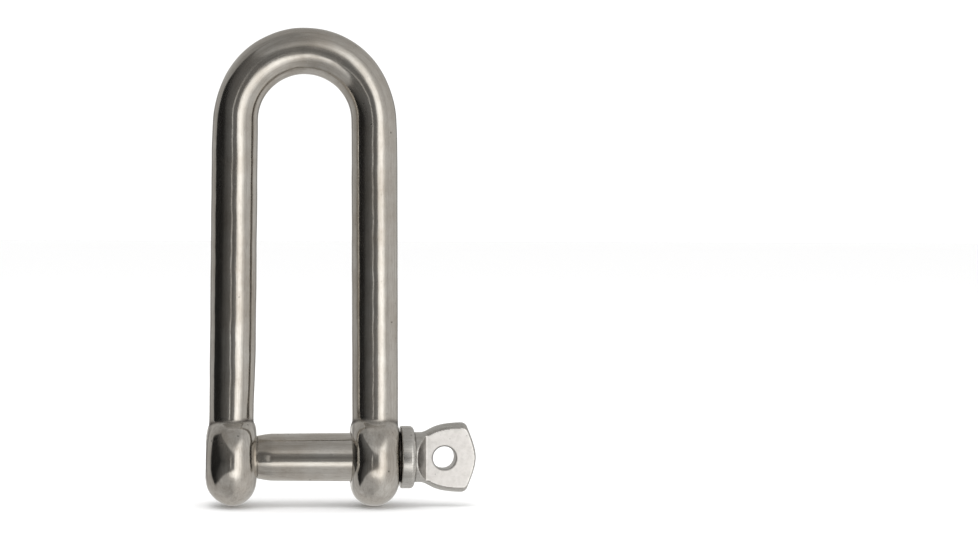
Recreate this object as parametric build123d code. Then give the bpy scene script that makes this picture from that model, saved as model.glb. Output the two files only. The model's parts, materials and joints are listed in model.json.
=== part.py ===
from build123d import *
from math import cos, radians, sin
import os

# Long dee shackle: a round-bar bow with two forged ears, closed by a one-piece screw pin.
# Millimetres.  The origin is on the pin's axis, midway between the ears.  +X runs along the pin
# towards its head, and +Z runs up the bow to its crown.

# The bow's bar and the space inside it
BAR_DIAMETER = 10.0
INSIDE_LENGTH = 78.0  # from the pin's shank to the inside of the crown
JAW_WIDTH = 20.5  # between the inner faces of the ears
LEG_SETBACK = 0.35  # an ear's inner face stands this far inside its leg
LEG_SPLAY = 0.35  # degrees that each leg leans outwards on its way down

# The ears, barrels that lie along the pin
EAR_WALL = 4.45  # steel round the pin hole, at the ear's crest
EAR_DROP = 0.7  # the ear's own centre lies this far below the pin's axis
EAR_EDGE_RADIUS = 5.0
EAR_CREST = 0.5  # the least width of crest left between an ear's two rounded edges
CLEAR_EAR_EXTRA = 0.15  # the clear ear's outer face stands this far outside its leg
DOME_RISE = 1.0  # the threaded ear's outer face is domed by this much

# The pin's shank and thread
PIN_DIAMETER = 10.4
THREAD_STEP = 0.3  # the thread's crests lie this far below the shank's surface
RELIEF_STEP = 0.3  # the groove between thread and shank lies this far below the crests
RELIEF_WIDTH = 1.2
LEAD_IN_LENGTH = 3.0  # the cone from the groove up to the full shank
TIP_CHAMFER = 0.8
TIP_INSET = 0.4  # the pin's tip stops this far inside the threaded ear's dome

# Clearances, all radial except the gap under the collar
THREAD_CLEARANCE = 0.05
HOLE_CLEARANCE = 0.25
COLLAR_GAP = 0.6

# The pin's collar, neck and flat head
COLLAR_RIM = 1.6  # the collar stands this far out from the shank
COLLAR_WIDTH = 2.6
COLLAR_EDGE_RADIUS = 0.9
NECK_DIAMETER = 10.9
NECK_LENGTH = 1.1
HEAD_LENGTH = 12.5
HEAD_WIDTH = 15.5
HEAD_THICKNESS = 5.0
HEAD_TIP_RISE = 2.9  # how far the head's end bulges past its corners
HEAD_FLARE = ((0.22, 0.37), (0.46, 0.93))  # the flare's control points, as shares of its run and rise
HEAD_CORNER_RADIUS = 0.8
HEAD_EDGE_RADIUS = 0.7
SCALLOP_RADIUS = 2.35  # the hollow that leads from the round neck to each flat face
SCALLOP_END = 1.6  # from the neck's end to where the flat face begins
EYE_DIAMETER = 5.0
EYE_SETBACK = 7.05  # from the head's tip to the eye's centre
EYE_CHAMFER = 0.3

# Sizes that follow from those above
bar_radius = BAR_DIAMETER / 2
pin_radius = PIN_DIAMETER / 2
thread_radius = pin_radius - THREAD_STEP
relief_radius = thread_radius - RELIEF_STEP
clear_hole_radius = pin_radius + HOLE_CLEARANCE
jaw_side = JAW_WIDTH / 2
ear_radius = clear_hole_radius + EAR_WALL
leg_foot_x = jaw_side + LEG_SETBACK + bar_radius
clear_ear_width = LEG_SETBACK + BAR_DIAMETER + CLEAR_EAR_EXTRA
threaded_ear_width = LEG_SETBACK + BAR_DIAMETER + DOME_RISE
pin_tip_x = TIP_INSET - jaw_side - threaded_ear_width
collar_x = jaw_side + clear_ear_width + COLLAR_GAP
neck_x = collar_x + COLLAR_WIDTH
head_x = neck_x + NECK_LENGTH
head_tip_x = head_x + HEAD_LENGTH
head_corner_x = head_tip_x - HEAD_TIP_RISE
flat_x = head_x + SCALLOP_END
eye_x = head_tip_x - EYE_SETBACK


def along_pin(radius, start, end):
    """A round bar on the pin's axis, from one place along it to another."""
    bar = Cylinder(radius, end - start, rotation=(0, 90, 0))
    return Pos((start + end) / 2, 0, 0) * bar


def turned(section):
    """The solid that a flat section, drawn as (x, radius), makes when it turns about the X axis."""
    return revolve(Plane.XZ * section, Axis.X)


def bent_bar():
    """The round bar: two legs that lean apart a little, joined by the arc of the crown."""
    lean = radians(LEG_SPLAY)
    crown_top = pin_radius + INSIDE_LENGTH + bar_radius
    arc_radius = (leg_foot_x * cos(lean) - crown_top * sin(lean)) / (1 - sin(lean))
    arc_z = crown_top - arc_radius
    shoulder = (arc_radius * cos(lean), 0, arc_z + arc_radius * sin(lean))
    mirrored = (-shoulder[0], 0, shoulder[2])
    foot = (leg_foot_x, 0, 0)
    path = Line((-leg_foot_x, 0, 0), mirrored)
    path += ThreePointArc(mirrored, (0, 0, crown_top), shoulder)
    path += Line(shoulder, foot)
    start = Plane(origin=path @ 0, z_dir=path % 0)
    return sweep(start * Circle(bar_radius), path)


def ear(width, dome_rise):
    """An ear on the +X side: a barrel with a flat inner face and rounded edges."""
    edge_radius = min(EAR_EDGE_RADIUS, (width - EAR_CREST) / 2)
    outer_x = jaw_side + width
    rim_x = outer_x - dome_rise
    outline = Polyline((outer_x, 0), (jaw_side, 0), (jaw_side, ear_radius), (rim_x, ear_radius))
    if dome_rise > 0:
        dome_radius = (ear_radius**2 + dome_rise**2) / (2 * dome_rise)
        outline += RadiusArc((rim_x, ear_radius), (outer_x, 0), dome_radius)
    else:
        outline += Line((rim_x, ear_radius), (outer_x, 0))
    section = make_face(outline)
    corners = section.vertices().group_by(Axis.Y)[-1]
    return Pos(0, 0, -EAR_DROP) * turned(fillet(corners, edge_radius))


def bow():
    """The bar and its two ears, with the threaded hole at -X and the clear hole at +X."""
    body = bent_bar()
    body += ear(clear_ear_width, 0)
    body += mirror(ear(threaded_ear_width, DOME_RISE), Plane.YZ)
    past = 2 * BAR_DIAMETER
    body -= along_pin(clear_hole_radius, 0, leg_foot_x + past)
    body -= along_pin(thread_radius + THREAD_CLEARANCE, -leg_foot_x - past, 0)
    return body


def pin_shaft():
    """The turned part of the pin: thread, relief groove, lead-in cone, shank, collar and neck."""
    relief_x = -jaw_side
    thread_end_x = relief_x - RELIEF_WIDTH
    steps = Polyline(
        (pin_tip_x, 0),
        (pin_tip_x, thread_radius - TIP_CHAMFER),
        (pin_tip_x + TIP_CHAMFER, thread_radius),
        (thread_end_x, thread_radius),
        (thread_end_x, relief_radius),
        (relief_x, relief_radius),
        (relief_x + LEAD_IN_LENGTH, pin_radius),
        (collar_x, pin_radius),
        (collar_x, 0),
        (pin_tip_x, 0),
    )
    disc = along_pin(pin_radius + COLLAR_RIM, collar_x, neck_x)
    collar = fillet(disc.edges().filter_by(GeomType.CIRCLE), COLLAR_EDGE_RADIUS)
    neck = along_pin(NECK_DIAMETER / 2, neck_x, flat_x + SCALLOP_RADIUS)
    return turned(make_face(steps)) + collar + neck


def head_plate():
    """The flat head, waisted at the neck and bulging at its end, with rounded edges."""
    waist = NECK_DIAMETER / 2
    half_width = HEAD_WIDTH / 2
    flare = head_corner_x - head_x
    rise = half_width - waist
    bend = [(head_x + run * flare, waist + up * rise) for run, up in HEAD_FLARE]
    upper = Bezier((head_x, waist), *bend, (head_corner_x, half_width))
    end = ThreePointArc((head_corner_x, half_width), (head_tip_x, 0), (head_corner_x, -half_width))
    outline = upper + end + mirror(upper, Plane.XZ)
    outline += Line((head_x, -waist), (head_x, waist))
    face = make_face(outline)
    corners = [v for v in face.vertices() if v.X > head_x + flare / 2]
    face = fillet(corners, HEAD_CORNER_RADIUS)
    plate = extrude(Plane.XZ * face, HEAD_THICKNESS / 2, both=True)
    faces = plate.faces().sort_by(Axis.Y)
    rims = faces[0].edges() + faces[-1].edges()
    outer_rims = [e for e in rims if e.center().X > head_x + HEAD_CORNER_RADIUS]
    return fillet(outer_rims, HEAD_EDGE_RADIUS)


def scallops():
    """The two tools that cut the round neck down to the head's thickness."""
    face_y = HEAD_THICKNESS / 2
    hollow_y = face_y + SCALLOP_RADIUS
    far_x = flat_x + NECK_DIAMETER
    far_y = face_y + NECK_DIAMETER
    outline = Line((flat_x, face_y), (far_x, face_y))
    outline += Polyline((far_x, face_y), (far_x, far_y), (flat_x - SCALLOP_RADIUS, far_y))
    outline += Line((flat_x - SCALLOP_RADIUS, far_y), (flat_x - SCALLOP_RADIUS, hollow_y))
    outline += RadiusArc((flat_x - SCALLOP_RADIUS, hollow_y), (flat_x, face_y), -SCALLOP_RADIUS)
    tool = extrude(make_face(outline), HEAD_WIDTH, both=True)
    return tool + mirror(tool, Plane.XZ)


def screw_pin():
    """The whole pin, forged in one piece, with the eye through its head."""
    body = pin_shaft() + head_plate() - scallops()
    eye_radius = EYE_DIAMETER / 2
    body -= Pos(eye_x, 0, 0) * Cylinder(eye_radius, 2 * HEAD_THICKNESS, rotation=(90, 0, 0))
    for side in (-1, 1):
        rim = Cone(
            eye_radius,
            eye_radius + 2 * EYE_CHAMFER,
            2 * EYE_CHAMFER,
            rotation=(-90 * side, 0, 0),
        )
        body -= Pos(eye_x, side * HEAD_THICKNESS / 2, 0) * rim
    return body


os.makedirs("parts", exist_ok=True)
export_step(bow(), "parts/bow.step")
export_step(screw_pin(), "parts/screw_pin.step")
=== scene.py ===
"""The looks of a long dee shackle: a polished stainless bow closed by a satin-headed screw pin."""
import json
from math import cos, pi, radians, sin, tau

import bmesh
import bpy
import numpy as np
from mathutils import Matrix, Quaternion, Vector


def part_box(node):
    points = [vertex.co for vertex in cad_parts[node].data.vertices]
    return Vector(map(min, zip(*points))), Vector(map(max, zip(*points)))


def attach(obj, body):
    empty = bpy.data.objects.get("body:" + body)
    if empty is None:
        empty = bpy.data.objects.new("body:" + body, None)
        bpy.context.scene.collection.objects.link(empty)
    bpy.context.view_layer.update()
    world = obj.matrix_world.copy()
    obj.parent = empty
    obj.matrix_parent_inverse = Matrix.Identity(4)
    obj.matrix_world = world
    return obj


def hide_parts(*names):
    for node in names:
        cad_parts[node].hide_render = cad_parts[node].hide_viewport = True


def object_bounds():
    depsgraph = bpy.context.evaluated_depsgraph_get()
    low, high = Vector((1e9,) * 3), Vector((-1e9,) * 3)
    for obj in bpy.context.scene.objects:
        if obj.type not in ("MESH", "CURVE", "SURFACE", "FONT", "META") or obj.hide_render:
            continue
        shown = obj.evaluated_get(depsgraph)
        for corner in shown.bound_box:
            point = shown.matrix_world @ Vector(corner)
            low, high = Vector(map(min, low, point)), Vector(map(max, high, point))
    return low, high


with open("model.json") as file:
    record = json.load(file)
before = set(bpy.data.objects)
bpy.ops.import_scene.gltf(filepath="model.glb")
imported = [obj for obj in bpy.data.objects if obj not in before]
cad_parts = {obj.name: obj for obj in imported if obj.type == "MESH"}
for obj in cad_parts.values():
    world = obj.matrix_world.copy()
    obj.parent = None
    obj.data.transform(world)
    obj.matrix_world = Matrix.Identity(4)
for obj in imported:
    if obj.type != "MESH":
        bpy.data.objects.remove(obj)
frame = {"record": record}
cad_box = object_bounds()
MM = 0.001

# Where things are, from the frame
bow_low, bow_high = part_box("bow")
pin_low, pin_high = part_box("screw_pin")
mounts = {mount["name"]: mount for mount in frame["record"]["mounts"]}
EAR_RADIUS = (bow_high[1] - bow_low[1]) / 2
EAR_Z = bow_low[2] + EAR_RADIUS
CROWN_INSIDE_Z = mounts["bow_crown"]["pos_m"][2]
EYE_X = mounts["head_eye"]["pos_m"][0]
EYE_RADIUS = mounts["head_eye"]["dims"]["r_mm"] * MM
PIN_TIP_X = pin_low[0]
HEAD_TIP_X = pin_high[0]
COLLAR_RADIUS = pin_high[1]

# The bow's bar
BAR_RADIUS = 5.0 * MM
JAW_SIDE = 10.25 * MM
LEG_FOOT_X = 15.6 * MM
LEG_LEAN = radians(0.35)
CROWN_TOP_Z = CROWN_INSIDE_Z + BAR_RADIUS
CROWN_RADIUS = LEG_FOOT_X * cos(LEG_LEAN) - CROWN_TOP_Z * sin(LEG_LEAN)
CROWN_RADIUS /= 1 - sin(LEG_LEAN)
CROWN_Z = CROWN_TOP_Z - CROWN_RADIUS

# Where the bar isn't even: by how much, at what place, and over what reach. Places on the bend are
# in degrees from its top, and on the leg they are heights.
CROWN_SWELL = (0.12 * MM, 0, 32)
SHOULDER_THINNING = (0.36 * MM, 72, 22)
LEFT_LEG_PINCH = (0.35 * MM, 8 * MM, 9 * MM)
RIPPLE_HEIGHT = 0.016 * MM

# The ears
THREADED_FACE_X = 21.55 * MM  # how far out the top of its dome is
CLEAR_FACE_X = 20.75 * MM
THREADED_OUTER_EDGE = 4.9 * MM
CLEAR_OUTER_EDGE = 5.4 * MM
THREADED_INNER_EDGE = 5.5 * MM
CLEAR_INNER_EDGE = 4.75 * MM
DOME_RISE = 1.5 * MM
DOME_RADIUS = (EAR_RADIUS**2 + DOME_RISE**2) / (2 * DOME_RISE)
THREADED_BLEND = 0.5 * MM
CLEAR_BLEND = 0.8 * MM
SIDE_BLEND_SHARE = 0.15  # of that blend is left where the leg's side faces along the pin
LEG_FOOT_BLEND = 2 * MM
EAR_TOP_START = 1 * MM  # the ears' edges get tighter from here up
EAR_TOP_RISE = 6 * MM
EAR_TOP_TIGHTENING = 0.35
CLEAR_HOLE_RADIUS = 5.45 * MM
HOLE_CHAMFER = 0.35 * MM
TAP_MOUTH = 5.6 * MM
DRILL_MOUTH = 6.2 * MM
DOME_FALL_AT_HOLE = 0.3 * MM
HOLE_OVERSHOOT = 2 * MM

# The thread
THREAD_PITCH = 1.5 * MM
THREAD_CREST = 4.9 * MM
THREAD_DEPTH = 0.85 * MM
THREAD_PLAY = 0.08 * MM
THREAD_CREST_SHARE = 0.18
THREAD_FLANK_SHARE = 0.68
THREAD_FLANK_EASE = 0.35
TIP_CHAMFER = 0.9 * MM

# The pin
RELIEF_WIDTH = 1.2 * MM
GROOVE_RADIUS = THREAD_CREST - THREAD_DEPTH - 0.05 * MM
GROOVE_SHOULDER = 0.2 * MM  # from the thread's end to the groove's rounded corner
GROOVE_CORNER = 0.06 * MM
GROOVE_FLOOR_START = 0.35 * MM
GROOVE_WALL = 0.03 * MM
CONE_START_RADIUS = 4.64 * MM
CONE_GAP = 0.1 * MM  # between the ear's inner face and the start of the lead-in cone
SHANK_START_RADIUS = 5.13 * MM
SHANK_END_RADIUS = 5.26 * MM
LEAD_IN_LENGTH = 3.2 * MM
LEAD_IN_EASE = 0.22
SHANK_TAPER_SHARE = 0.625  # of the shank's length, over which it widens
COLLAR_X = 21.05 * MM
COLLAR_WIDTH = 2.9 * MM
COLLAR_EDGE = 0.95 * MM
COLLAR_INNER_EDGE = 0.28 * MM
COLLAR_FILLET = 0.3 * MM
NECK_RADIUS = 5.45 * MM
NECK_LENGTH = 1.1 * MM
NECK_X = COLLAR_X + COLLAR_WIDTH
HEAD_X = NECK_X + NECK_LENGTH
HEAD_HALF_WIDTH = 7.6 * MM
HEAD_HALF_THICKNESS = 2.5 * MM
HEAD_TIP_RISE = 2.45 * MM
HEAD_CORNER_X = HEAD_TIP_X - HEAD_TIP_RISE
HEAD_END_SLOPE = 0.47
HEAD_END_ROUND = 1.6 * MM
EDGE_WIDENING = 0.30  # how the head's corners and edges grow towards the neck
EDGE_WIDENING_POWER = 0.2
FLARE_FULLNESS = 2.4
WAIST_SHARE = 0.2  # of the head's run, over which it leaves the neck
WAIST_SHARPNESS = 1.8
HEAD_CORNER = 0.8 * MM
HEAD_EDGE = 0.22 * MM
HEAD_SIDE_BULGE = 1.1 * MM
HEAD_END_BULGE = 0.4 * MM
SCALLOP_RADIUS = 2.35 * MM
SCALLOP_SLOPE = 0.72
SCALLOP_END = 1.6 * MM
SCALLOP_SETBACK = 0.2 * MM
SCALLOP_FILLET = 0.12 * MM
NECK_EDGE = 0.1 * MM
NECK_ROOT = 1.2 * MM  # how far the neck's mesh goes on into the collar
HEAD_GRID_X = NECK_X - 2 * MM  # where the head's grid starts, a little before that mesh
SATIN_X = COLLAR_X - 0.2 * MM  # where the polished shank ends
FLAT_X = HEAD_X + SCALLOP_END
EYE_CHAMFER = 0.35 * MM
EYE_OVERSHOOT = 0.5 * MM

# Painted shade in corners, gaps, holes and hollows: how strong it is, from 0 to 1, and how far it
# reaches
CORNER_SHADE = 0.9
CORNER_REACH = 0.36 * MM
CROWN_SHADE = (0.17, 0, 62)  # strength, place and reach, in degrees from the crown's top
HOLE_SHADE = 0.5
HOLE_SHADE_RADIUS = 5.6 * MM
HOLE_SHADE_TOP_Z = 7 * MM
GAP_SHADE_X = 20.85 * MM  # the gap between the clear ear and the collar
GAP_SHADE_HALF_WIDTH = 0.65 * MM
GAP_SHADE_HEIGHT = 0.25 * MM  # above the shank
NECK_SHADE = (0.75, NECK_X + 0.08 * MM, 0.16 * MM)  # strength, place and reach
NECK_SHADE_INSET = 0.9 * MM  # inside the collar's rim
SCALLOP_SHADE = 0.25
SCALLOP_SHADE_RISE = 0.6
SCALLOP_SHADE_END = 0.2 * MM  # past the start of the flat face
SCALLOP_SHADE_RUN = 2.2 * MM
THREAD_SHADE = 0.55
THREAD_UNSHADED_DEPTH = 0.1 * MM  # the crests stay unshaded to here
EYE_SHADE = 0.35
EYE_SHADE_REACH = 0.05 * MM

# Colours of the steel's marks
LINE_BROWN = (0.27, 0.235, 0.20, 1)
FLECK_BROWN = (0.25, 0.215, 0.18, 1)
WORN_BRIGHT = (0.82, 0.81, 0.79, 1)
GROUND_BRIGHT = (0.93, 0.90, 0.87, 1)
GROUND_DULL = (0.72, 0.695, 0.66, 1)
PIT_BLACK = (0.10, 0.09, 0.08, 1)
# The brown-black that painted shade darkens the colour towards
PAINTED_SHADE_BROWN = (0.055, 0.043, 0.034, 1)

# The studio, in degrees across from straight in front (the world's -Y) and up from level
ROOM_LEFT = -107
ROOM_RIGHT = 11
GAP_ACROSS = -13.0
BACK_PANEL_ACROSS = 150
# Soft boxes: where they are across and up, how wide and tall, and how bright
SOFT_BOXES = ((28, 1, 18, 40, 1.06), (2, -29, 27, 11, 0.85), (6, 31, 30, 8, 0.14))
STUDIO_TINT = (1.0, 0.98, 0.945, 1)
WHITE_STRENGTH = 1.12  # of the plain white that the camera and the floor see
FLOOR_HALF_WIDTH = 30
FLOOR_GAP = 0.05 * MM

# How fine the meshes are
BOW_CELL = 0.42 * MM
HEAD_CELL = 0.17 * MM
RING_STEPS = 128
EVENING_ROUNDS = 8
SHARP_ANGLE = 40  # degrees between two faces


# ---------------------------------------------------------------- shapes as distance fields


def round_max(a, b, radius):
    """Where two solids overlap, with the edge between them rounded. Solids are signed distances."""
    corner = np.hypot(np.maximum(a + radius, 0), np.maximum(b + radius, 0))
    return np.minimum(np.maximum(a, b), -radius) + corner


def round_min(a, b, radius):
    """Two solids joined, with the corner between them filled to a radius."""
    return -round_max(-a, -b, radius)


def bar_frame(x, z):
    """A point's place on the bar: across it in the bow's plane, and along it from the crown's top."""
    above = z > CROWN_Z + np.abs(x) * np.tan(LEG_LEAN)
    turn = np.arctan2(np.abs(x), z - CROWN_Z)
    across_crown = np.hypot(x, z - CROWN_Z) - CROWN_RADIUS
    across_leg = (np.abs(x) - LEG_FOOT_X) * cos(LEG_LEAN) + z * sin(LEG_LEAN)
    along_leg = CROWN_RADIUS * pi / 2 + (CROWN_Z - z) / cos(LEG_LEAN)
    across = np.where(above, across_crown, across_leg)
    along = np.where(above, CROWN_RADIUS * turn, along_leg)
    return across, along


def near(value, place, reach):
    """1 at a place, falling smoothly to almost nothing a few reaches away."""
    return np.exp(-(((value - place) / reach) ** 2))


def local(value, change):
    """An amount that is whole at one place and fades away from it."""
    amount, place, reach = change
    return amount * near(value, place, reach)


def ease(share):
    """A share from 0 to 1 that starts and stops gently."""
    return share * share * (3 - 2 * share)


def bar_distance(x, y, z):
    """The bent bar. Its outside swells at the crown's top and thins on the bend's shoulders.

    The inside of its left leg is pinched just above the ear.
    """
    across, along = bar_frame(x, z)
    turn = np.degrees(along / CROWN_RADIUS)
    swell = local(turn, CROWN_SWELL) - local(turn, SHOULDER_THINNING)
    across = np.where(across > 0, across * BAR_RADIUS / (BAR_RADIUS + swell), across)
    pinch = local(z, LEFT_LEG_PINCH)
    pinched = (across < 0) & (x < 0)
    across = np.where(pinched, across * BAR_RADIUS / (BAR_RADIUS - pinch), across)
    return np.hypot(across, y) - BAR_RADIUS


def ripple(x, y, z):
    """The faint unevenness that tumbling leaves: a few microns, in long shallow waves."""
    # Radians a metre, and the phases that keep the waves from lining up
    waves = np.sin(x * 610 + z * 230 + 1.3) * np.sin(y * 720 - z * 140)
    waves += np.sin(z * 410 + x * 190 + 0.4) * np.cos(y * 530 + x * 350)
    waves += 0.6 * np.sin(z * 930 - y * 380 + 2.1) * np.sin(x * 1040 + 0.7)
    return RIPPLE_HEIGHT * waves


def ear_distance(x, y, z, side):
    """One ear: a barrel along the pin, flat inside, and domed outside where it is threaded."""
    outward = side * x
    reach = np.hypot(y, z - EAR_Z)
    upward = np.clip((z - EAR_TOP_START) / EAR_TOP_RISE, 0, 1)
    fuller = 1 - EAR_TOP_TIGHTENING * ease(upward)
    if side < 0:
        face = outward - THREADED_FACE_X + reach**2 / (2 * DOME_RADIUS)
        inner_edge, outer_edge = THREADED_INNER_EDGE, THREADED_OUTER_EDGE
    else:
        face = outward - CLEAR_FACE_X
        inner_edge, outer_edge = CLEAR_INNER_EDGE, CLEAR_OUTER_EDGE
    inner = round_max(JAW_SIDE - outward, reach - EAR_RADIUS, inner_edge * fuller)
    outer = round_max(face, reach - EAR_RADIUS, outer_edge * fuller)
    return np.maximum(inner, outer)


def bow_distance(x, y, z):
    """The whole bow without its holes."""
    bar = bar_distance(x, y, z)
    across, _ = bar_frame(x, z)
    facing = 1 - (across / np.maximum(np.hypot(across, y), 1e-9)) ** 2
    bar = round_max(bar, EAR_Z - z, LEG_FOOT_BLEND)
    for side, blend in ((-1, THREADED_BLEND), (1, CLEAR_BLEND)):
        share = SIDE_BLEND_SHARE + (1 - SIDE_BLEND_SHARE) * facing
        fill = blend * np.where(side * x > 0, share, SIDE_BLEND_SHARE)
        bar = round_min(bar, ear_distance(x, y, z, side), fill)
    return bar + ripple(x, y, z)


def flare(x):
    """The flat head's half width along the pin: a waist at the neck that swells to the corners."""
    run = np.clip((x - HEAD_X) / (HEAD_CORNER_X - HEAD_X), 0, 1)
    rise = 1 - (1 - run) ** FLARE_FULLNESS
    leaving = 1 - np.exp(-((run / WAIST_SHARE) ** WAIST_SHARPNESS))
    return NECK_RADIUS + (HEAD_HALF_WIDTH - NECK_RADIUS) * rise * leaving


def head_distance(x, y, z):
    """The neck and the flat head without its eye."""
    widening = (1 + EDGE_WIDENING * (HEAD_TIP_X - x) / HEAD_TIP_RISE) ** EDGE_WIDENING_POWER
    chord = np.hypot(HEAD_END_SLOPE * z, HEAD_END_ROUND) - HEAD_END_ROUND
    end = (x - HEAD_TIP_X + chord) / np.hypot(1, HEAD_END_SLOPE)
    bulge = (y / HEAD_HALF_THICKNESS) ** 2
    sides = (np.abs(z) - flare(x) + HEAD_SIDE_BULGE * bulge) / widening
    outline = round_max(sides, end + HEAD_END_BULGE * bulge, HEAD_CORNER)
    thickness = np.abs(y) - HEAD_HALF_THICKNESS
    plate = round_max(outline, thickness, HEAD_EDGE)
    plate = np.maximum(plate, NECK_X - x)
    neck = np.hypot(y, z) - NECK_RADIUS
    wall = FLAT_X - SCALLOP_SETBACK - SCALLOP_SLOPE * thickness - x
    wall = wall / np.hypot(1, SCALLOP_SLOPE)
    hollow = round_max(wall, -thickness, SCALLOP_FILLET)
    neck = round_max(neck, -hollow, NECK_EDGE)
    neck = np.maximum(neck, x - FLAT_X - SCALLOP_RADIUS)
    return np.maximum(np.minimum(plate, neck), NECK_X - NECK_ROOT - x)


def slope(field, points, step=1e-6):
    """The field's gradient at each point."""
    columns = []
    for axis in range(3):
        nudge = np.zeros(3)
        nudge[axis] = step
        ahead = field(*(points + nudge).T)
        behind = field(*(points - nudge).T)
        columns.append((ahead - behind) / (2 * step))
    return np.stack(columns, 1)


def settle(field, points, rounds):
    """Moves points onto the surface where the field is zero."""
    for _ in range(rounds):
        gradient = slope(field, points)
        steep = np.maximum((gradient**2).sum(1), 0.05)
        points = points - gradient * (field(*points.T) / steep)[:, None]
    return points


def surface_net(field, low, high, cell):
    """An even, closed quad mesh of a field's surface: one point in each cell that it crosses."""
    counts = np.ceil((np.array(high) - low) / cell).astype(int) + 1
    axes = [low[i] + cell * np.arange(counts[i]) for i in range(3)]
    grid = np.meshgrid(*axes, indexing="ij")
    inside = field(*[g.ravel() for g in grid]).reshape(counts) < 0
    corners = sum(
        inside[i : counts[0] - 1 + i, j : counts[1] - 1 + j, k : counts[2] - 1 + k].astype(int)
        for i in (0, 1)
        for j in (0, 1)
        for k in (0, 1)
    )
    crossed = (corners > 0) & (corners < 8)
    number = np.full(crossed.shape, -1)
    number[crossed] = np.arange(crossed.sum())
    points = np.array(low) + cell * (np.argwhere(crossed) + 0.5)
    faces = np.concatenate([net_faces(inside, number, axis) for axis in range(3)])
    points = settle(field, points, 3)
    for _ in range(EVENING_ROUNDS):
        points = settle(field, evened(points, faces), 1)
    return settle(field, points, 3), faces


def net_faces(inside, number, axis):
    """The quads round each grid edge along one axis whose two ends lie on different sides."""
    a, b = [(1, 2), (2, 0), (0, 1)][axis]
    first = np.moveaxis(inside, (axis, a, b), (0, 1, 2))
    cells = np.moveaxis(number, (axis, a, b), (0, 1, 2))
    here = first[:-1, 1:-1, 1:-1]
    there = first[1:, 1:-1, 1:-1]
    i, j, k = np.nonzero(here != there)
    around = [cells[i, j, k], cells[i, j + 1, k], cells[i, j + 1, k + 1], cells[i, j, k + 1]]
    quads = np.stack(around, 1)
    leaving = here[i, j, k]
    return np.where(leaving[:, None], quads, quads[:, ::-1])


def evened(points, faces):
    """Each point moved halfway to the middle of its neighbours."""
    starts = faces.ravel()
    ends = np.roll(faces, -1, axis=1).ravel()
    total = np.zeros_like(points)
    for axis in range(3):
        total[:, axis] = np.bincount(starts, points[ends, axis], len(points))
        total[:, axis] += np.bincount(ends, points[starts, axis], len(points))
    count = np.bincount(starts, minlength=len(points)) + np.bincount(ends, minlength=len(points))
    return (points + total / count[:, None]) / 2


# ---------------------------------------------------------------- meshes


def new_piece(name, points, faces):
    """An object with a smooth-shaded mesh."""
    mesh = bpy.data.meshes.new(name)
    mesh.from_pydata([tuple(p) for p in points], [], [tuple(int(i) for i in f) for f in faces])
    mesh.validate()
    mesh.polygons.foreach_set("use_smooth", [True] * len(mesh.polygons))
    piece = bpy.data.objects.new(name, mesh)
    bpy.context.collection.objects.link(piece)
    return piece


def lathe(name, rings, thread=None):
    """A closed solid turned about the X axis from (x, radius) rings.

    A thread, if there is one, gives each point's radius from its x, its angle and its plain radius.
    """
    turns = np.arange(RING_STEPS) * tau / RING_STEPS
    points = []
    for x, radius in rings:
        radii = np.full(RING_STEPS, radius)
        if thread:
            radii = thread(x, turns, radius)
        points += list(zip(np.full(RING_STEPS, x), radii * np.cos(turns), radii * np.sin(turns)))
    faces = []
    for ring in range(len(rings) - 1):
        for i in range(RING_STEPS):
            j = (i + 1) % RING_STEPS
            here, there = ring * RING_STEPS, (ring + 1) * RING_STEPS
            faces.append((here + i, here + j, there + j, there + i))
    for ring, order in ((0, -1), (len(rings) - 1, 1)):
        centre = len(points)
        points.append((rings[ring][0], 0, 0))
        for i in range(RING_STEPS):
            j = (i + 1) % RING_STEPS
            rim = (ring * RING_STEPS + i, ring * RING_STEPS + j)
            faces.append((centre, *rim[::order]))
    return new_piece(name, points, faces)


def combine(piece, tool, operation):
    """Joins a tool to a piece or cuts it away, and removes the tool."""
    change = piece.modifiers.new("combine", "BOOLEAN")
    change.operation = operation
    change.solver = "EXACT"
    change.object = tool
    settled = piece.evaluated_get(bpy.context.evaluated_depsgraph_get())
    mesh = bpy.data.meshes.new_from_object(settled)
    piece.modifiers.clear()
    old = piece.data
    piece.data = mesh
    bpy.data.meshes.remove(old)
    bpy.data.objects.remove(tool)


def finish_mesh(piece):
    """Clears doubled points and marks the sharp edges that machining left."""
    mesh = piece.data
    edit = bmesh.new()
    edit.from_mesh(mesh)
    bmesh.ops.remove_doubles(edit, verts=edit.verts, dist=1e-7)
    bmesh.ops.dissolve_degenerate(edit, edges=edit.edges, dist=1e-7)
    bmesh.ops.recalc_face_normals(edit, faces=edit.faces)
    edit.to_mesh(mesh)
    edit.free()
    mesh.polygons.foreach_set("use_smooth", [True] * len(mesh.polygons))
    mesh.set_sharp_from_angle(angle=radians(SHARP_ANGLE))


def mesh_points(piece):
    """The mesh's points as an array."""
    points = np.empty(len(piece.data.vertices) * 3)
    piece.data.vertices.foreach_get("co", points)
    return points.reshape(-1, 3)


def store_vectors(piece, name, vectors):
    """Keeps one vector a point on the mesh, for the material to read."""
    attribute = piece.data.attributes.new(name, "FLOAT_VECTOR", "POINT")
    attribute.data.foreach_set("vector", np.ascontiguousarray(vectors, np.float32).ravel())


def store_values(piece, name, values):
    """Keeps one number a point on the mesh, for the material to read."""
    attribute = piece.data.attributes.new(name, "FLOAT", "POINT")
    attribute.data.foreach_set("value", np.ascontiguousarray(values, np.float32))


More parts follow.
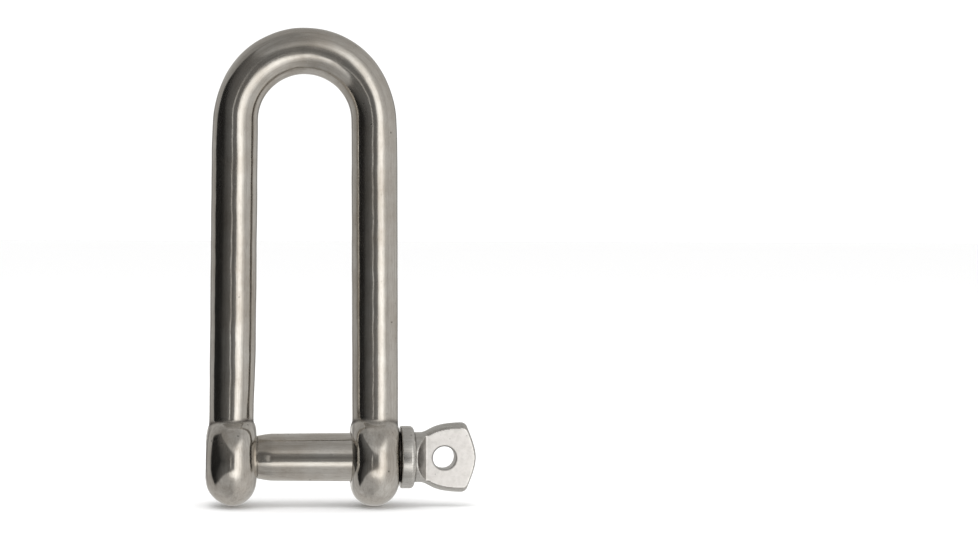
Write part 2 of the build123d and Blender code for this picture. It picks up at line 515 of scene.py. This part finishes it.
def thread_depth(x, turns, play):
    """How far below the crest a right-hand thread lies at an angle, less the play.

    Its crest is flat and its flanks are about 60 degrees apart.
    """
    phase = (x / THREAD_PITCH - turns / tau) % 1
    from_crest = np.abs(phase - 0.5) * 2
    ramp = np.clip((from_crest - THREAD_CREST_SHARE) / THREAD_FLANK_SHARE, 0, 1)
    ramp = ease(ramp) * THREAD_FLANK_EASE + ramp * (1 - THREAD_FLANK_EASE)
    return THREAD_DEPTH * ramp - play


def pin_thread(x, turns, radius):
    """The pin's radius on its threaded stretch, never more than the plain radius of its tip."""
    if x > -JAW_SIDE - RELIEF_WIDTH + 1e-6 or x < PIN_TIP_X:
        return np.full(len(turns), radius)
    return np.minimum(THREAD_CREST - thread_depth(x, turns, 0), radius)


def hole_thread(x, turns, radius):
    """The threaded hole's radius, never less than the plain radius that its chamfers give."""
    cut = THREAD_CREST - thread_depth(x, turns, THREAD_PLAY)
    return np.maximum(cut, radius)


def arc(centre_x, centre_r, radius, start, end, steps):
    """Points on a circular arc in the (x, radius) plane, between two angles in degrees."""
    angles = np.radians(np.linspace(start, end, steps))
    return [(centre_x + radius * cos(a), centre_r + radius * sin(a)) for a in angles]


def shaft_rings():
    """The pin's turned outline: tip, thread, groove, lead-in, shank and collar."""
    tip_radius = THREAD_CREST - TIP_CHAMFER
    # Rings close to an edge keep the shading of the two sides apart
    rings = [(PIN_TIP_X, 0.4 * tip_radius), (PIN_TIP_X, tip_radius * 0.97)]
    rings += [(PIN_TIP_X + 0.05 * MM, tip_radius)]
    thread_end = -JAW_SIDE - RELIEF_WIDTH
    for x in np.arange(PIN_TIP_X + 0.1 * MM, thread_end, THREAD_PITCH / 18):
        rings.append((x, min(THREAD_CREST, tip_radius + (x - PIN_TIP_X))))
    rings.append((thread_end, THREAD_CREST))
    rings.append((thread_end + GROOVE_SHOULDER, GROOVE_RADIUS + GROOVE_CORNER))
    rings.append((thread_end + GROOVE_FLOOR_START, GROOVE_RADIUS))
    cone_start = -JAW_SIDE + CONE_GAP
    rings.append((cone_start - GROOVE_WALL, GROOVE_RADIUS))
    for share in np.linspace(0, 1, 22):
        climb = (share - LEAD_IN_EASE * share**3) / (1 - LEAD_IN_EASE)
        radius = CONE_START_RADIUS + climb * (SHANK_START_RADIUS - CONE_START_RADIUS)
        rings.append((cone_start + share * LEAD_IN_LENGTH, radius))
    shank_start = cone_start + LEAD_IN_LENGTH
    for share in np.linspace(0, 1, 40)[1:]:
        x = shank_start + share * (COLLAR_X - COLLAR_FILLET - shank_start)
        widening = min(share / SHANK_TAPER_SHARE, 1)
        rings.append((x, SHANK_START_RADIUS + widening * (SHANK_END_RADIUS - SHANK_START_RADIUS)))
    fillet_radius = SHANK_END_RADIUS + COLLAR_FILLET
    rings += arc(COLLAR_X - COLLAR_FILLET, fillet_radius, COLLAR_FILLET, -90, 0, 5)
    inner_radius = COLLAR_RADIUS - COLLAR_INNER_EDGE
    rings += arc(COLLAR_X + COLLAR_INNER_EDGE, inner_radius, COLLAR_INNER_EDGE, 180, 90, 10)
    face_radius = COLLAR_RADIUS - COLLAR_EDGE
    rings += arc(NECK_X - COLLAR_EDGE, face_radius, COLLAR_EDGE, 90, 0, 12)
    rings += [(NECK_X, NECK_RADIUS * 0.9), (NECK_X, NECK_RADIUS * 0.4)]
    return rings


def hole_rings(start, end, radius, mouth, step):
    """A cutting tool for a hole through an ear, with a chamfered mouth at both faces."""
    low, high = start - HOLE_OVERSHOOT, end + HOLE_OVERSHOOT
    rings = []
    for x in np.arange(low, high, step):
        outside = max(start + HOLE_CHAMFER - x, x - end + HOLE_CHAMFER, 0)
        rings.append((x, min(radius + outside, mouth)))
    return rings


def make_bow():
    """The bow: one smooth forging, then its two holes."""
    margin = 4 * BOW_CELL
    low = np.array(bow_low) - margin
    high = np.array(bow_high) + margin
    points, faces = surface_net(bow_distance, low, high, BOW_CELL)
    bow = new_piece("bow_forging", points, faces)
    thread_root = THREAD_CREST - THREAD_DEPTH + THREAD_PLAY
    outer_mouth = -THREADED_FACE_X + DOME_FALL_AT_HOLE
    rings = hole_rings(outer_mouth, -JAW_SIDE, thread_root, TAP_MOUTH, THREAD_PITCH / 16)
    combine(bow, lathe("tap", rings, hole_thread), "DIFFERENCE")
    rings = hole_rings(JAW_SIDE, CLEAR_FACE_X, CLEAR_HOLE_RADIUS, DRILL_MOUTH, HOLE_CHAMFER / 2)
    combine(bow, lathe("drill", rings), "DIFFERENCE")
    finish_mesh(bow)
    x, y, z = mesh_points(bow).T
    across, along = bar_frame(x, z)
    store_vectors(bow, "drawn", np.stack([across, y, along * np.sign(x)], 1))
    # The painted shade mask, for the material to darken and roughen
    store_values(bow, "grime", bow_painted_shade(x, y, z))
    return bow


def bow_painted_shade(x, y, z):
    """Painted shade in the corner between each leg and its ear and in the holes, and over the crown.
    """
    bar = bar_distance(x, y, z)
    ear = np.where(x < 0, ear_distance(x, y, z, -1), ear_distance(x, y, z, 1))
    # Painted shade in the crease where each leg meets its ear
    corner = near(bar, 0, CORNER_REACH) * near(ear, 0, CORNER_REACH) * (z > EAR_Z)
    # Painted shade over the crown, dimming its reflection there
    turn = np.degrees(np.arctan2(np.abs(x), z - CROWN_Z))
    outside = np.maximum(CORNER_SHADE * corner, local(turn, CROWN_SHADE))
    # Painted shade inside the two holes
    inside = (np.hypot(y, z) < HOLE_SHADE_RADIUS) & (z < HOLE_SHADE_TOP_Z)
    return np.clip(np.where(inside, HOLE_SHADE, outside), 0, 1)


def pin_painted_shade(x, y, z):
    """Painted shade under the collar and beside it, in the scallops, in the thread and in the eye."""
    radius = np.hypot(y, z)
    # Painted shade in the narrow gap between the clear ear and the collar
    in_gap = np.abs(x - GAP_SHADE_X) < GAP_SHADE_HALF_WIDTH
    in_gap = in_gap & (radius < SHANK_END_RADIUS + GAP_SHADE_HEIGHT)
    grime = np.where(in_gap, 1.0, 0.0)
    # Painted shade in the corner where the collar's outer face meets the neck
    grime += local(x, NECK_SHADE) * (radius < COLLAR_RADIUS - NECK_SHADE_INSET)
    # Painted shade in the scallops, darker towards the neck
    into_hollow = np.clip((FLAT_X + SCALLOP_SHADE_END - x) / SCALLOP_SHADE_RUN, 0, 1)
    in_hollow = (x > FLAT_X - SCALLOP_RADIUS) & (x < FLAT_X) & (np.abs(y) > HEAD_HALF_THICKNESS)
    in_hollow = in_hollow & (radius < NECK_RADIUS - NECK_EDGE)
    grime += np.where(in_hollow, SCALLOP_SHADE + SCALLOP_SHADE_RISE * into_hollow, 0)
    # Painted shade in the thread's roots, darker the deeper they lie
    in_groove = (x < -JAW_SIDE) & (x > PIN_TIP_X + TIP_CHAMFER)
    in_groove = in_groove & (radius < THREAD_CREST - THREAD_UNSHADED_DEPTH)
    grime += np.where(in_groove, THREAD_SHADE * (THREAD_CREST - radius) / THREAD_DEPTH, 0)
    # Painted shade inside the eye
    eye = np.hypot(x - EYE_X, z)
    in_eye = (eye < EYE_RADIUS + EYE_SHADE_REACH) & (np.abs(y) < HEAD_HALF_THICKNESS)
    grime += EYE_SHADE * in_eye
    return np.clip(grime, 0, 1)


def make_pin():
    """The pin: its turned shaft joined to its forged head, then the eye."""
    pin = lathe("screw_pin_forging", shaft_rings(), pin_thread)
    margin = 2 * HEAD_CELL
    low = np.array((HEAD_GRID_X, -NECK_RADIUS, -HEAD_HALF_WIDTH)) - margin
    high = np.array((HEAD_TIP_X, NECK_RADIUS, HEAD_HALF_WIDTH)) + margin
    points, faces = surface_net(head_distance, low, high, HEAD_CELL)
    combine(pin, new_piece("head", points, faces), "UNION")
    combine(pin, eye_tool(), "DIFFERENCE")
    finish_mesh(pin)
    x, y, z = mesh_points(pin).T
    store_vectors(pin, "drawn", np.stack([y, z, x], 1))
    # The painted shade mask, for the material to darken and roughen
    store_values(pin, "grime", pin_painted_shade(x, y, z))
    off_face = np.abs(y) - HEAD_HALF_THICKNESS
    flat = (off_face > -0.03 * MM) & (off_face < 0.05 * MM)
    store_values(pin, "ground", flat & (x > FLAT_X - SCALLOP_SETBACK))
    return pin


def eye_tool():
    """The drill for the head's eye, wider where it breaks the two flat faces."""
    half = HEAD_HALF_THICKNESS
    mouth = EYE_RADIUS + EYE_CHAMFER + EYE_OVERSHOOT
    rings = [(-half - EYE_OVERSHOOT, mouth), (-half + EYE_CHAMFER, EYE_RADIUS)]
    rings += [(half - EYE_CHAMFER, EYE_RADIUS), (half + EYE_OVERSHOOT, mouth)]
    tool = lathe("eye_drill", rings)
    points = mesh_points(tool)
    turned = np.stack([points[:, 1] + EYE_X, -points[:, 0], points[:, 2]], 1)
    tool.data.vertices.foreach_set("co", turned.ravel())
    tool.data.update()
    return tool


# ---------------------------------------------------------------- materials


class Graph:
    """A node tree with short calls for the nodes used here."""

    def __init__(self, tree):
        self.tree = tree
        tree.nodes.clear()

    def node(self, kind, inputs=(), **settings):
        made = self.tree.nodes.new(kind)
        for key, value in settings.items():
            setattr(made, key, value)
        for key, value in dict(inputs).items():
            self.put(made.inputs[key], value)
        return made

    def put(self, socket, value):
        if isinstance(value, bpy.types.NodeSocket):
            self.tree.links.new(value, socket)
        else:
            socket.default_value = value

    def math(self, operation, *values, clamp=False):
        made = self.node("ShaderNodeMath", operation=operation, use_clamp=clamp)
        for socket, value in zip(made.inputs, values):
            self.put(socket, value)
        return made.outputs[0]

    def noise(self, vector, scale, detail, roughness):
        inputs = {"Vector": vector, "Scale": scale, "Detail": detail, "Roughness": roughness}
        return self.node("ShaderNodeTexNoise", inputs).outputs["Fac"]

    def stretch(self, vector, scale, turn=(0, 0, 0)):
        inputs = {"Vector": vector, "Scale": scale, "Rotation": turn}
        return self.node("ShaderNodeMapping", inputs).outputs[0]

    def ramp(self, value, stops, smooth=False):
        made = self.node("ShaderNodeValToRGB", {"Fac": value})
        elements = made.color_ramp.elements
        made.color_ramp.interpolation = "EASE" if smooth else "LINEAR"
        while len(elements) < len(stops):
            elements.new(0.5)
        for element, (place, level) in zip(elements, stops):
            element.position = place
            element.color = (level, level, level, 1)
        return made.outputs["Color"]

    def remap(self, value, low, high, new_low, new_high):
        inputs = {"Value": value, "From Min": low, "From Max": high}
        inputs |= {"To Min": new_low, "To Max": new_high}
        return self.node("ShaderNodeMapRange", inputs).outputs["Result"]

    def mix(self, share, first, second):
        made = self.node("ShaderNodeMix", data_type="RGBA")
        self.put(made.inputs["Factor"], share)
        self.put(made.inputs[6], first)
        self.put(made.inputs[7], second)
        return made.outputs[2]


def steel(name, tone, stain, roughness, line_strength, pit_share, wave_scale):
    """Stainless steel with drawing lines, stray scratches, pits, dull patches, worn edges and painted
    shade.
    """
    material = bpy.data.materials.new(name)
    material.use_nodes = True
    graph = Graph(material.node_tree)
    place = graph.node("ShaderNodeAttribute", attribute_name="drawn").outputs["Vector"]

    lines = graph.noise(graph.stretch(place, (1, 1, 0.02)), 5200, 4, 0.7)
    coarse_lines = graph.noise(graph.stretch(place, (1, 1, 0.035)), 1500, 3, 0.6)
    flecks = graph.noise(graph.stretch(place, (1, 1, 0.2)), 3000, 3, 0.65)
    patches = graph.noise(place, wave_scale, 4, 0.6)
    clouds = graph.noise(place, wave_scale * 4.5, 3, 0.6)
    scratch_a = graph.noise(graph.stretch(place, (1, 0.05, 1), (0.5, 0.3, 0.9)), 2600, 2, 0.5)
    scratch_b = graph.noise(graph.stretch(place, (0.05, 1, 1), (0.2, 0.8, 0.4)), 2100, 2, 0.5)
    scratches = graph.math(
        "MAXIMUM",
        graph.remap(scratch_a, 0.70, 0.78, 0, 1),
        graph.remap(scratch_b, 0.70, 0.78, 0, 1),
    )
    cells = graph.node("ShaderNodeTexVoronoi", {"Vector": place, "Scale": 900.0})
    chosen = graph.node("ShaderNodeSeparateColor", {"Color": cells.outputs["Color"]}).outputs["Red"]
    in_cell = graph.remap(cells.outputs["Distance"], 0.10, 0.26, 1, 0)
    chosen = graph.remap(chosen, 1 - pit_share, 1 - pit_share * 0.7, 0, 1)
    pits = graph.math("MULTIPLY", in_cell, chosen)

    # Painted shade: a mask kept on the mesh that darkens and roughens corners, gaps, holes and hollows
    grime = graph.node("ShaderNodeAttribute", attribute_name="grime").outputs["Fac"]
    patchy = graph.remap(clouds, 0.3, 0.7, 0.7, 1.15)
    grime = graph.math("MULTIPLY", grime, patchy, clamp=True)
    edges = graph.node("ShaderNodeNewGeometry").outputs["Pointiness"]
    wear = graph.remap(edges, 0.52, 0.60, 0, 1)

    dull = graph.math("MULTIPLY_ADD", graph.remap(patches, 0.35, 0.7, 0, 1), 0.07, roughness)
    dull = graph.math("MULTIPLY_ADD", graph.remap(lines, 0.35, 0.65, -1, 1), 0.035, dull)
    dull = graph.math("MULTIPLY_ADD", graph.remap(clouds, 0.4, 0.7, 0, 1), 0.04, dull)
    dull = graph.math("MULTIPLY_ADD", scratches, 0.10, dull)
    dull = graph.math("MULTIPLY_ADD", pits, 0.25, dull)
    dull = graph.math("MULTIPLY_ADD", grime, 0.35, dull)
    ground = graph.node("ShaderNodeAttribute", attribute_name="ground").outputs["Fac"]
    dull = graph.math("MULTIPLY_ADD", ground, 0.08, dull)
    dull = graph.math("MULTIPLY_ADD", wear, -0.08, dull, clamp=True)
    dull = graph.math("MAXIMUM", dull, 0.06)

    colour = graph.mix(graph.remap(patches, 0.35, 0.7, 0, 1), tone, stain)
    colour = graph.mix(graph.remap(coarse_lines, 0.45, 0.75, 0, 0.34), colour, LINE_BROWN)
    colour = graph.mix(graph.remap(flecks, 0.50, 0.75, 0, 0.24), colour, FLECK_BROWN)
    colour = graph.mix(graph.math("MULTIPLY", wear, 0.35), colour, WORN_BRIGHT)
    fine = graph.noise(place, 900, 4, 0.7)
    bright = graph.mix(graph.remap(fine, 0.42, 0.66, 0, 0.6), GROUND_BRIGHT, GROUND_DULL)
    colour = graph.mix(graph.math("MULTIPLY", ground, 0.92), colour, bright)
    colour = graph.mix(graph.math("MULTIPLY", pits, 0.75), colour, PIT_BLACK)
    # Painted shade darkens the colour towards brown-black
    colour = graph.mix(grime, colour, PAINTED_SHADE_BROWN)
    metal = graph.math("MULTIPLY_ADD", ground, -0.45, 1.0)

    relief = graph.math("MULTIPLY", lines, line_strength)
    relief = graph.math("MULTIPLY_ADD", coarse_lines, line_strength * 3.0, relief)
    relief = graph.math("MULTIPLY_ADD", flecks, line_strength * 3.0, relief)
    relief = graph.math("MULTIPLY_ADD", clouds, line_strength * 5.0, relief)
    relief = graph.math("MULTIPLY_ADD", scratches, -line_strength * 1.2, relief)
    relief = graph.math("MULTIPLY_ADD", pits, -line_strength * 8, relief)
    bump = graph.node("ShaderNodeBump", {"Height": relief, "Strength": 1.0, "Distance": 1.0})

    shader = graph.node(
        "ShaderNodeBsdfPrincipled",
        {
            "Base Color": colour,
            "Metallic": metal,
            "Roughness": dull,
            "Normal": bump.outputs[0],
        },
    )
    output = graph.node("ShaderNodeOutputMaterial")
    graph.put(output.inputs["Surface"], shader.outputs[0])
    return material


def paint_pin(pin, shank_material, head_material):
    """The shank keeps the bow's polish, and everything from the collar's fillet on is satin."""
    pin.data.materials.append(shank_material)
    pin.data.materials.append(head_material)
    for face in pin.data.polygons:
        face.material_index = int(face.center.x > SATIN_X)


# ---------------------------------------------------------------- the studio


def studio_light(graph):
    """What the steel mirrors, from a direction: a dark room to the left and soft white boxes."""
    place = graph.node("ShaderNodeTexCoord").outputs["Generated"]
    parts = graph.node("ShaderNodeSeparateXYZ", {"Vector": place}).outputs
    turn = graph.math("ARCTAN2", parts[0], graph.math("MULTIPLY", parts[1], -1.0))
    across = graph.math("DEGREES", turn)
    up = graph.math("DEGREES", graph.math("ARCSINE", parts[2]))
    sideways = graph.math("ABSOLUTE", across)
    # Below, a remap turns one range into another: angles in degrees, and brightness from 0 to 1

    # The dark room: a wedge that is tall at the left and ends a little right of straight in front
    top = graph.remap(across, -72, 10, 57, 16)
    far_top = graph.remap(across, -124, -72, 8, 57)
    top = graph.math("MINIMUM", top, far_top)
    bottom = graph.remap(across, -80, 10, -38, -15)
    over = graph.math("SUBTRACT", up, top)
    under = graph.math("SUBTRACT", bottom, up)
    right_of = graph.math("SUBTRACT", across, ROOM_RIGHT)
    left_of = graph.math("SUBTRACT", ROOM_LEFT, across)
    outside = graph.math("MAXIMUM", over, graph.math("MAXIMUM", under, right_of))
    outside = graph.math("MAXIMUM", outside, left_of)
    softness = graph.remap(over, -8, 6, 3.2, 6)
    outside = graph.math("DIVIDE", outside, softness)
    in_light = graph.ramp(graph.remap(outside, -0.7, 0.9, 0, 1), [(0.0, 0.0), (1.0, 1.0)], True)

    # Blackest in a triangle that points to the front, brown-gray near its point
    off_level = graph.math("ABSOLUTE", graph.math("SUBTRACT", up, 3))
    depth = graph.math("ADD", off_level, across)
    dark = graph.ramp(
        graph.remap(depth, -70, 20, 0, 1),
        [(0.0, 0.018), (0.14, 0.025), (0.27, 0.07), (0.60, 0.15), (0.80, 0.165), (0.92, 0.26)],
    )

    # Plain surroundings, brighter to the right and below
    plain = graph.remap(across, -20, 60, 0.40, 0.62)
    behind = graph.remap(sideways, 100, 150, 0, 1)
    plain = graph.mix(behind, plain, (0.54, 0.54, 0.54, 1))
    tilt = graph.ramp(
        graph.remap(up, -90, 90, 0, 1),
        [(0.0, 1.0), (0.22, 1.18), (0.40, 1.05), (0.5, 1.0), (0.8, 0.86), (1.0, 0.80)],
    )
    plain = graph.math("MULTIPLY", plain, tilt)

    # The soft boxes: one to the right, one low in front, and a faint one high in front
    light = plain
    for centre_across, centre_up, width, height, strength in SOFT_BOXES:
        dx = graph.math("DIVIDE", graph.math("SUBTRACT", across, centre_across), width)
        dy = graph.math("DIVIDE", graph.math("SUBTRACT", up, centre_up), height)
        dx = graph.math("POWER", graph.math("ABSOLUTE", dx), 2.6)
        dy = graph.math("POWER", graph.math("ABSOLUTE", dy), 2.6)
        distance = graph.math("ADD", dx, dy)
        glow = graph.math("EXPONENT", graph.math("MULTIPLY", distance, -1.0))
        light = graph.math("MULTIPLY_ADD", glow, strength, light)
    light = graph.mix(in_light, dark, light)

    # A narrow gap between the room's curtains
    gap = graph.math("ABSOLUTE", graph.math("SUBTRACT", across, GAP_ACROSS))
    gap = graph.remap(gap, 1.0, 3.2, 1, 0)
    gap = graph.math("MULTIPLY", gap, graph.remap(graph.math("ABSOLUTE", up), 9, 19, 0.50, 0))
    light = graph.math("ADD", light, gap)

    # Behind the shackle, a gray upright panel each side of a bright one
    panel = graph.math("ABSOLUTE", graph.math("SUBTRACT", sideways, BACK_PANEL_ACROSS))
    panel = graph.remap(panel, 7, 12, 1, 0)
    back_box = graph.remap(sideways, 162, 168, 0, 1)
    low_enough = graph.remap(graph.math("ABSOLUTE", up), 8, 22, 1, 0)
    light = graph.mix(graph.math("MULTIPLY", panel, low_enough), light, (0.30, 0.30, 0.30, 1))
    return graph.mix(graph.math("MULTIPLY", back_box, low_enough), light, (0.80, 0.80, 0.80, 1))


def make_world():
    """White to the eye and for the floor, and to the steel a studio."""
    world = bpy.data.worlds.new("studio")
    world.use_nodes = True
    bpy.context.scene.world = world
    graph = Graph(world.node_tree)
    warm = graph.node("ShaderNodeMix", data_type="RGBA", blend_type="MULTIPLY")
    graph.put(warm.inputs["Factor"], 1.0)
    graph.put(warm.inputs[6], studio_light(graph))
    graph.put(warm.inputs[7], STUDIO_TINT)
    seen = graph.node("ShaderNodeBackground", {"Color": (1, 1, 1, 1), "Strength": WHITE_STRENGTH})
    mirrored = graph.node("ShaderNodeBackground", {"Color": warm.outputs[2], "Strength": 1.0})
    rays = graph.node("ShaderNodeLightPath").outputs
    choice = graph.node("ShaderNodeMixShader", {"Fac": rays["Is Glossy Ray"]})
    graph.put(choice.inputs[1], seen.outputs[0])
    graph.put(choice.inputs[2], mirrored.outputs[0])
    output = graph.node("ShaderNodeOutputWorld")
    graph.put(output.inputs["Surface"], choice.outputs[0])


def make_floor():
    """A plain pale floor under the ears."""
    far = FLOOR_HALF_WIDTH
    corners = [(-far, -far, 0), (far, -far, 0), (far, far, 0), (-far, far, 0)]
    floor = new_piece("floor", corners, [(0, 1, 2, 3)])
    floor.location.z = bow_low[2] - FLOOR_GAP
    material = bpy.data.materials.new("pale_floor")
    material.use_nodes = True
    shader = material.node_tree.nodes["Principled BSDF"]
    shader.inputs["Base Color"].default_value = (0.93, 0.93, 0.93, 1)
    shader.inputs["Roughness"].default_value = 0.9
    floor.data.materials.append(material)
    floor.visible_glossy = False


def make_lamp():
    """One large soft lamp overhead, which only the floor sees."""
    data = bpy.data.lights.new("overhead", "AREA")
    data.shape = "DISK"
    data.size = 0.9
    data.energy = 5.0
    lamp = bpy.data.objects.new("overhead", data)
    lamp.location = (-0.1, -0.25, 1.1)
    lamp.visible_glossy = False
    aim = Vector((0, 0, 0)) - lamp.location
    lamp.rotation_euler = aim.to_track_quat("-Z", "Y").to_euler()
    bpy.context.collection.objects.link(lamp)


def make_camera():
    """A long lens a little to the left of the shackle, squared up to it as a copy stand would be."""
    distance = 0.4784
    from_left, from_above = radians(3.6), radians(0.8)
    aim_right, aim_down = radians(2.3), radians(0.4)
    roll = radians(-0.2)
    low, high = cad_box
    centre = (Vector(low) + Vector(high)) / 2
    back = (-sin(from_left) * cos(from_above), -cos(from_left) * cos(from_above), sin(from_above))
    aim = Vector((sin(aim_right) * cos(aim_down), cos(aim_right) * cos(aim_down), -sin(aim_down)))
    data = bpy.data.cameras.new("camera")
    data.sensor_width = 36
    data.lens = 80.95
    data.shift_x = 0.202
    data.shift_y = -0.0238
    data.clip_start = 0.01
    data.clip_end = 50
    camera = bpy.data.objects.new("camera", data)
    camera.location = centre + Vector(back) * distance
    camera.rotation_mode = "QUATERNION"
    camera.rotation_quaternion = aim.to_track_quat("-Z", "Y") @ Quaternion((0, 0, 1), -roll)
    bpy.context.collection.objects.link(camera)
    bpy.context.scene.camera = camera


# ---------------------------------------------------------------- the scene

polished = steel(
    "polished_bow",
    tone=(0.67, 0.65, 0.615, 1),
    stain=(0.53, 0.49, 0.44, 1),
    roughness=0.08,
    line_strength=1.3e-6,
    pit_share=0.04,
    wave_scale=130.0,
)
satin = steel(
    "satin_head",
    tone=(0.68, 0.67, 0.65, 1),
    stain=(0.60, 0.59, 0.565, 1),
    roughness=0.21,
    line_strength=1.1e-6,
    pit_share=0.10,
    wave_scale=160.0,
)
bow_piece = make_bow()
bow_piece.data.materials.append(polished)
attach(bow_piece, "bow")
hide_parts("bow")

pin_piece = make_pin()
paint_pin(pin_piece, polished, satin)
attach(pin_piece, "pin")
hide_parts("screw_pin")

make_world()
make_floor()
make_lamp()
make_camera()
bpy.context.scene.view_settings.view_transform = "Standard"
